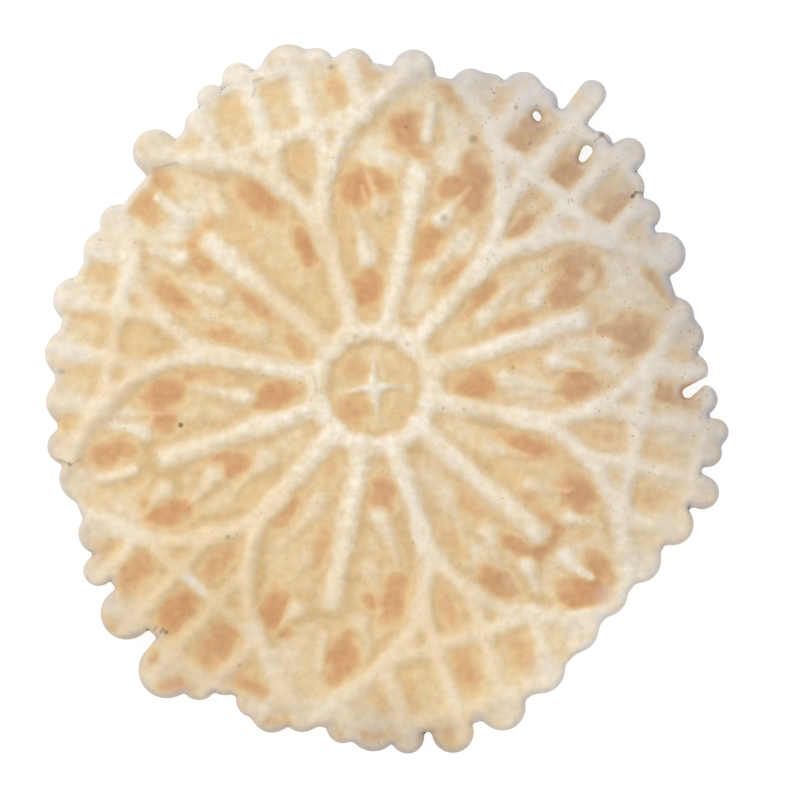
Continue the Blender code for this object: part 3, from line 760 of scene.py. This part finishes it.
def shape_skin(skin, tree):
    """Moves each point of the flat skin to its place on the wafer."""
    x, y, z = coordinates(skin.data) / MM
    (edge_x, edge_y), inset = nearest_edge(tree, x, y)
    level = np.clip((z - MIDDLE) / SLAB_HALF, -1, 1)
    radius = blended(GAP_ROUND, EDGE_ROUND, eased(gap_distance(x, y) / GAP_BLEND))
    roll = np.clip(inset / radius, 0, 1) * math.pi / 2
    rounded = radius * (1 - np.cos(roll)) / np.maximum(inset, LEAST_INSET)
    pull = np.minimum(np.where(inset < radius, rounded, 1), 1)
    x, y = blended(edge_x, x, pull), blended(edge_y, y, pull)
    rise = wafer_rise(x, y, inset)
    half = half_thickness(x, y, rise, level > 0)
    height = MIDDLE + level * half * np.maximum(np.sin(roll), EDGE_LIP)
    skin.data.vertices.foreach_set("co", (np.stack((x, y, height), axis=1) * MM).ravel())
    add_baking(skin.data, x, y, inset, level > 0)


def baked_wafer():
    wafer = rim_slab()
    cut_gaps(wafer)
    tree = edge_tree(wafer)
    lay_even_skin(wafer)
    shape_skin(wafer, tree)
    wafer.data.shade_smooth()
    return wafer


# ------ browning


def patches(x, y, angle, spots):
    """Soft-edged browned patches, 0 where pale to 1 where darkest."""
    right, out = seen_along(x, y, angle)
    ragged = PATCH_RAGGED * unevenness(x, y, PATCH_LENGTH, seed=11)
    pale = np.ones_like(x)
    for across, distance, half_width, half_length, strength, *lean in spots:
        turn = math.radians(sum(lean))
        aside = (right - across) * math.cos(turn) - (out - distance) * math.sin(turn)
        along = (out - distance) * math.cos(turn) + (right - across) * math.sin(turn)
        away = np.hypot(aside / half_width, along / half_length) + ragged
        pale *= 1 - strength * eased((PATCH_REACH - away) / PATCH_SOFTNESS)
    return 1 - pale


def patched(x, y, petal_spots, valley_spots):
    """Every petal's patches and every valley's together."""
    bare = np.ones_like(x)
    for index in range(PETALS):
        bare *= 1 - patches(x, y, petal_angle(index), petal_spots[index])
        bare *= 1 - patches(x, y, valley_angle(index), valley_spots[index])
    return 1 - bare


def browning(x, y):
    """How browned each point is, from 0 to 1."""
    pale = 1 - patches(x, y, math.pi / 2, DISC_BROWNING)
    return 1 - pale * (1 - patched(x, y, PETAL_BROWNING, VALLEY_BROWNING))


def covered(x, y, areas):
    """How much of each point the wide soft areas cover, from 0 to 1."""
    bare = np.ones_like(x)
    for middle_x, middle_y, reach, strength in areas:
        bare *= 1 - strength * eased(1 - np.hypot(x - middle_x, y - middle_y) / reach)
    return 1 - bare


def add_baking(mesh, x, y, inset, upper):
    """Tells the material how each point came out of the iron, and where shade is painted on it."""
    pale = pattern_rise(*wandered(x, y))
    outer = eased((np.hypot(x, y) - OUTER_START) / OUTER_SPAN)
    # The band at each rib's foot holds golden browning and painted shade together.
    foot = pattern_rise(*wandered(x, y), FOOT_SPREAD) * (1 - pale) * (1 - FOOT_FADE * outer)
    foot *= blended(WEDGE_FOOT, 1, eased((np.hypot(x, y) - WEDGE_END) / WEDGE_SPAN))
    ragged = EDGE_RAGGED * unevenness(x, y, EDGE_LENGTH, seed=12)
    edge = (1 - eased(inset / EDGE_BAND + ragged)) * eased(gap_distance(x, y) / GAP_CLEAR)
    lobes = lobe_rise(x, y)
    measures = {
        "pale": 1 - (1 - pale) * (1 - LOBE_CREAM * lobes),
        "foot": foot,
        "browned": browning(x, y) * (1 - eased((pale - BROWN_START) / BROWN_FADE)),
        "bleached": patched(x, y, PETAL_BLEACHING, VALLEY_BLEACHING),
        "rim": 1 - (1 - edge) * (1 - LOBE_EDGE * lobes),
        "golden": covered(x, y, GOLDEN_AREAS),
        "greyer": covered(x, y, GREYER_AREAS),
        "paler": 1 - (1 - covered(x, y, PALER_AREAS)) * (1 - OUTER_PALER * outer),
        "darker": covered(x, y, DARKER_AREAS),
        # Where shade is painted on the inner flanks of some outlines.
        "shaded_flank": painted_flank_shade(*wandered(x, y)) * upper,
    }
    for name, values in measures.items():
        attribute = mesh.attributes.new(name, "FLOAT", "POINT")
        attribute.data.foreach_set("value", np.asarray(values, dtype=np.float32))


# ------ material


def tint(red, green, blue):
    """A colour given as it shows on a screen, 0 to 255, in the renderer's own linear values."""
    def linear(level):
        level /= 255
        return level / 12.92 if level <= 0.04045 else ((level + 0.055) / 1.055) ** 2.4
    return (linear(red), linear(green), linear(blue), 1)


class Nodes:
    """Short calls for adding and joining a material's nodes."""

    def __init__(self, material):
        self.tree = material.node_tree
        self.shader = self.tree.nodes["Principled BSDF"]
        self.place = self.tree.nodes.new("ShaderNodeTexCoord").outputs["Object"]
        self.flat = self.vector("MULTIPLY", self.place, (1, 1, 0))

    def join(self, source, socket):
        self.tree.links.new(source, socket)

    def fill(self, socket, value):
        if isinstance(value, bpy.types.NodeSocket):
            self.join(value, socket)
        else:
            socket.default_value = value

    def attribute(self, name):
        node = self.tree.nodes.new("ShaderNodeAttribute")
        node.attribute_name = name
        return node.outputs["Fac"]

    def noise(self, size, detail=2.0, roughness=0.5):
        """Cloudy noise whose blotches are about as large as size, in millimetres."""
        node = self.tree.nodes.new("ShaderNodeTexNoise")
        node.inputs["Scale"].default_value = 1 / (size * MM)
        node.inputs["Detail"].default_value = detail
        node.inputs["Roughness"].default_value = roughness
        self.join(self.place, node.inputs["Vector"])
        return node.outputs["Fac"]

    def pores(self, size):
        """Distance from scattered points about size millimetres apart, in shares of that size."""
        node = self.tree.nodes.new("ShaderNodeTexVoronoi")
        node.inputs["Scale"].default_value = 1 / (size * MM)
        self.join(self.place, node.inputs["Vector"])
        return node.outputs["Distance"]

    def vector(self, operation, first, second):
        node = self.tree.nodes.new("ShaderNodeVectorMath")
        node.operation = operation
        self.fill(node.inputs[0], first)
        self.fill(node.inputs[1], second)
        return node.outputs["Value" if operation in ("DISTANCE", "DOT_PRODUCT") else "Vector"]

    def spot(self, x, y, radius):
        """1 within a round spot in the given place and 0 outside it, with a soft edge."""
        away = self.vector("DISTANCE", self.flat, (x * MM, y * MM, 0))
        inner, outer = (share * radius * MM for share in SPOT_FADE)
        return self.ramp(away, inner, outer, to_low=1, to_high=0)

    def line(self, start, end, half_width):
        """1 along a thin line between two places and 0 away from it, with a soft edge."""
        start, end = Vector((*start, 0)) * MM, Vector((*end, 0)) * MM
        run = end - start
        seen = self.vector("SUBTRACT", self.flat, start)
        share = self.vector("DOT_PRODUCT", seen, run / run.length_squared)
        share = self.maths("MINIMUM", self.maths("MAXIMUM", share, 0.0), 1.0)
        away = self.vector("DISTANCE", seen, self.brightened(tuple(run), share))
        inner, outer = (share * half_width * MM for share in LINE_FADE)
        return self.ramp(away, inner, outer, to_low=1, to_high=0)

    def ramp(self, value, low, high, to_low=0.0, to_high=1.0):
        """Goes from to_low to to_high, with soft ends, as the value goes from low to high."""
        node = self.tree.nodes.new("ShaderNodeMapRange")
        node.interpolation_type = "SMOOTHSTEP"
        limits = {"From Min": low, "From Max": high, "To Min": to_low, "To Max": to_high}
        for name, number in limits.items():
            node.inputs[name].default_value = number
        self.join(value, node.inputs["Value"])
        return node.outputs["Result"]

    def maths(self, operation, first, second):
        node = self.tree.nodes.new("ShaderNodeMath")
        node.operation = operation
        self.fill(node.inputs[0], first)
        self.fill(node.inputs[1], second)
        return node.outputs["Value"]

    def brightened(self, colour, share):
        node = self.tree.nodes.new("ShaderNodeVectorMath")
        node.operation = "SCALE"
        self.fill(node.inputs[0], colour)
        self.join(share, node.inputs["Scale"])
        return node.outputs["Vector"]

    def bump(self, height, depth):
        """Fine relief, depth millimetres from its lowest to its highest."""
        node = self.tree.nodes.new("ShaderNodeBump")
        node.inputs["Distance"].default_value = depth * MM
        self.join(height, node.inputs["Height"])
        return node.outputs["Normal"]

    def mix(self, share, first, second):
        node = self.tree.nodes.new("ShaderNodeMix")
        node.data_type = "RGBA"
        self.fill(node.inputs["Factor"], share)
        self.fill(node.inputs["A"], first)
        self.fill(node.inputs["B"], second)
        return node.outputs["Result"]


def dough(nodes, golden, greyer):
    """Deeper on the floor, cream on the worn crests, golden browning and painted shade beside each
    rib.
    """
    pale, foot, paler = (nodes.attribute(name) for name in ("pale", "foot", "paler"))
    mottle = nodes.ramp(nodes.noise(2.0, detail=3), 0.32, 0.68)
    floor_tint = nodes.mix(mottle, tint(*FLOOR_DEEP), tint(*FLOOR_LIGHT))
    floor_tint = nodes.mix(golden, floor_tint, tint(*FLOOR_GOLDEN))
    floor_tint = nodes.mix(paler, floor_tint, tint(*FLOOR_PALER))
    floor_tint = nodes.mix(greyer, floor_tint, tint(*FLOOR_GREYER))
    # Golden browning and painted shade in the band beside each rib.
    foot_brown_and_shade = nodes.ramp(foot, 0.07, 0.5, to_high=0.66)
    floor_tint = nodes.mix(foot_brown_and_shade, floor_tint, tint(*FOOT_BROWN_AND_SHADE))
    crest_tint = nodes.mix(mottle, tint(*CREST_DEEP), tint(*CREST_LIGHT))
    crest_tint = nodes.mix(golden, crest_tint, tint(*CREST_GOLDEN))
    crest_tint = nodes.mix(greyer, crest_tint, tint(*CREST_GREYER))
    wear = nodes.ramp(nodes.noise(1.3), 0.3, 0.7, to_low=-0.09, to_high=0.09)
    return nodes.mix(nodes.maths("ADD", pale, wear), floor_tint, crest_tint)


def chalked(nodes, colour, greyer):
    """Chalky where the wafer came out bleached, in small uneven blotches."""
    blotches = nodes.ramp(nodes.noise(1.6, detail=4), 0.3, 0.7, to_low=0.5, to_high=1.1)
    share = nodes.maths("MULTIPLY", nodes.attribute("bleached"), blotches)
    return nodes.mix(share, colour, nodes.mix(greyer, tint(*CHALK), tint(*CHALK_GREYER)))


def browned(nodes, colour, greyer):
    """Golden to toasted in the browned patches, with the light lines that cross them."""
    blotches = nodes.ramp(nodes.noise(1.5, detail=3), 0.2, 0.8, to_low=0.86, to_high=1.12)
    baked = nodes.maths("MULTIPLY", nodes.attribute("browned"), blotches)
    for low, high, brown, greyer_brown in BROWNS:
        mixed = nodes.mix(greyer, tint(*brown), tint(*greyer_brown))
        colour = nodes.mix(nodes.ramp(baked, low, high), colour, mixed)
    for petal, *ends in LIGHT_LINES:
        start, end = (placed(*point, petal_angle(petal)) for point in ends)
        line = nodes.line(start, end, LIGHT_LINE_HALF)
        share = nodes.maths("MULTIPLY", line, LIGHT_LINE_STRENGTH)
        colour = nodes.mix(share, colour, tint(*LIGHT_LINE))
    return colour


def edged(nodes, colour, golden, greyer):
    """Painted shade on the inner sides of some outlines, and greyish along the thin rim."""
    shaded_flank = nodes.mix(golden, tint(*FLANK_SHADE), tint(*FLANK_SHADE_GOLDEN))
    share = nodes.maths("MULTIPLY", nodes.attribute("shaded_flank"), FLANK_SHADE_STRENGTH)
    colour = nodes.mix(share, colour, shaded_flank)
    edge = nodes.mix(golden, tint(*EDGE), tint(*EDGE_GOLDEN))
    edge = nodes.mix(greyer, edge, tint(*EDGE_GREYER))
    share = nodes.maths("MULTIPLY", nodes.attribute("rim"), EDGE_STRENGTH)
    return nodes.mix(share, colour, edge)


def flecked(nodes, colour, greyer):
    """Pores and specks all over, then painted shade in the cracks, the creases and the small pits."""
    for apart, size, clouds, greyness, dark in PORES:
        pore = nodes.ramp(nodes.pores(apart), *size, to_low=1, to_high=0)
        pore = nodes.maths("MULTIPLY", pore, nodes.ramp(nodes.noise(PORE_CLOUDS), *clouds))
        pore = nodes.maths("MULTIPLY", pore, nodes.ramp(greyer, *greyness))
        colour = nodes.mix(pore, colour, tint(*dark))
    # Painted shade in the cracks and creases, then in the small pits.
    for start, end, half_width, dark in CREASES:
        line = nodes.maths("MULTIPLY", nodes.line(start, end, half_width), dark)
        colour = nodes.mix(line, colour, tint(*CREASE_SHADE))
    for x, y, radius, dark in PITS:
        pit = nodes.maths("MULTIPLY", nodes.spot(x, y, radius), dark)
        colour = nodes.mix(pit, colour, tint(*PIT_SHADE))
    return colour


def wafer_material():
    """The baked dough, matt, slightly crumbly, coloured as it came out of the iron and with painted
    shade.
    """
    material = bpy.data.materials.new("baked_wafer")
    material.use_nodes = True
    nodes = Nodes(material)
    golden, greyer = nodes.attribute("golden"), nodes.attribute("greyer")
    colour = dough(nodes, golden, greyer)
    colour = chalked(nodes, colour, greyer)
    colour = browned(nodes, colour, greyer)
    colour = edged(nodes, colour, golden, greyer)
    colour = flecked(nodes, colour, greyer)
    darkened = nodes.vector("MULTIPLY", colour, DARKENING)
    colour = nodes.mix(nodes.attribute("darker"), colour, darkened)
    grain = nodes.noise(1.7, detail=3, roughness=0.55)
    grain = nodes.ramp(grain, 0.28, 0.72, to_low=0.94, to_high=1.05)
    nodes.join(nodes.brightened(colour, grain), nodes.shader.inputs["Base Color"])

    fine = nodes.noise(0.9, detail=3, roughness=0.55)
    coarse = nodes.maths("MULTIPLY", nodes.noise(2.4, detail=3), 1.5)
    crumb = nodes.maths("ADD", fine, coarse)
    nodes.join(nodes.bump(crumb, CRUMB_DEPTH), nodes.shader.inputs["Normal"])

    nodes.shader.inputs["Roughness"].default_value = 0.8
    nodes.shader.inputs["Specular IOR Level"].default_value = 0.3
    return material


# ------ floor, light and camera


def floor():
    """A plain pale floor that glows a little, so that it stays even in the view."""
    bm = bmesh.new()
    bmesh.ops.create_grid(bm, x_segments=1, y_segments=1, size=STAGE_HALF)
    made = new_object("floor", bm)
    material = bpy.data.materials.new("pale_floor")
    material.use_nodes = True
    shader = material.node_tree.nodes["Principled BSDF"]
    shader.inputs["Base Color"].default_value = tint(*STAGE)
    shader.inputs["Emission Color"].default_value = (1, 1, 1, 1)
    shader.inputs["Emission Strength"].default_value = STAGE_GLOW
    shader.inputs["Roughness"].default_value = 0.9
    made.data.materials.append(material)


def area_light(name, place, size, power):
    light = bpy.data.lights.new(name, "AREA")
    light.shape = "DISK"
    light.size = size
    light.energy = power
    lamp = bpy.data.objects.new(name, light)
    lamp.location = place
    lamp.rotation_euler = (-Vector(place)).to_track_quat("-Z", "Y").to_euler()
    bpy.context.scene.collection.objects.link(lamp)


def studio():
    """One soft lamp from the upper left, and even light from all round."""
    area_light("key", place=(-0.5, 0.5, 0.8), size=0.5, power=3.8)
    world = bpy.data.worlds.new("studio")
    world.use_nodes = True
    background = world.node_tree.nodes["Background"]
    background.inputs["Color"].default_value = (1, 1, 1, 1)
    background.inputs["Strength"].default_value = ROOM_LIGHT
    bpy.context.scene.world = world
    bpy.context.scene.view_settings.view_transform = "Standard"


def camera():
    """Straight above the wafer, which fills most of the view."""
    lens = bpy.data.cameras.new("camera")
    lens.lens = LENS
    made = bpy.data.objects.new("camera", lens)
    distance = VIEW_WIDTH * MM * lens.lens / lens.sensor_width
    made.location = (VIEW_CENTRE[0] * MM, VIEW_CENTRE[1] * MM, THICKNESS * MM + distance)
    bpy.context.scene.collection.objects.link(made)
    bpy.context.scene.camera = made


def main():
    wafer = baked_wafer()
    wafer.data.materials.clear()
    wafer.data.materials.append(wafer_material())
    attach(wafer, "root")
    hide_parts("wafer")
    floor()
    studio()
    camera()


main()
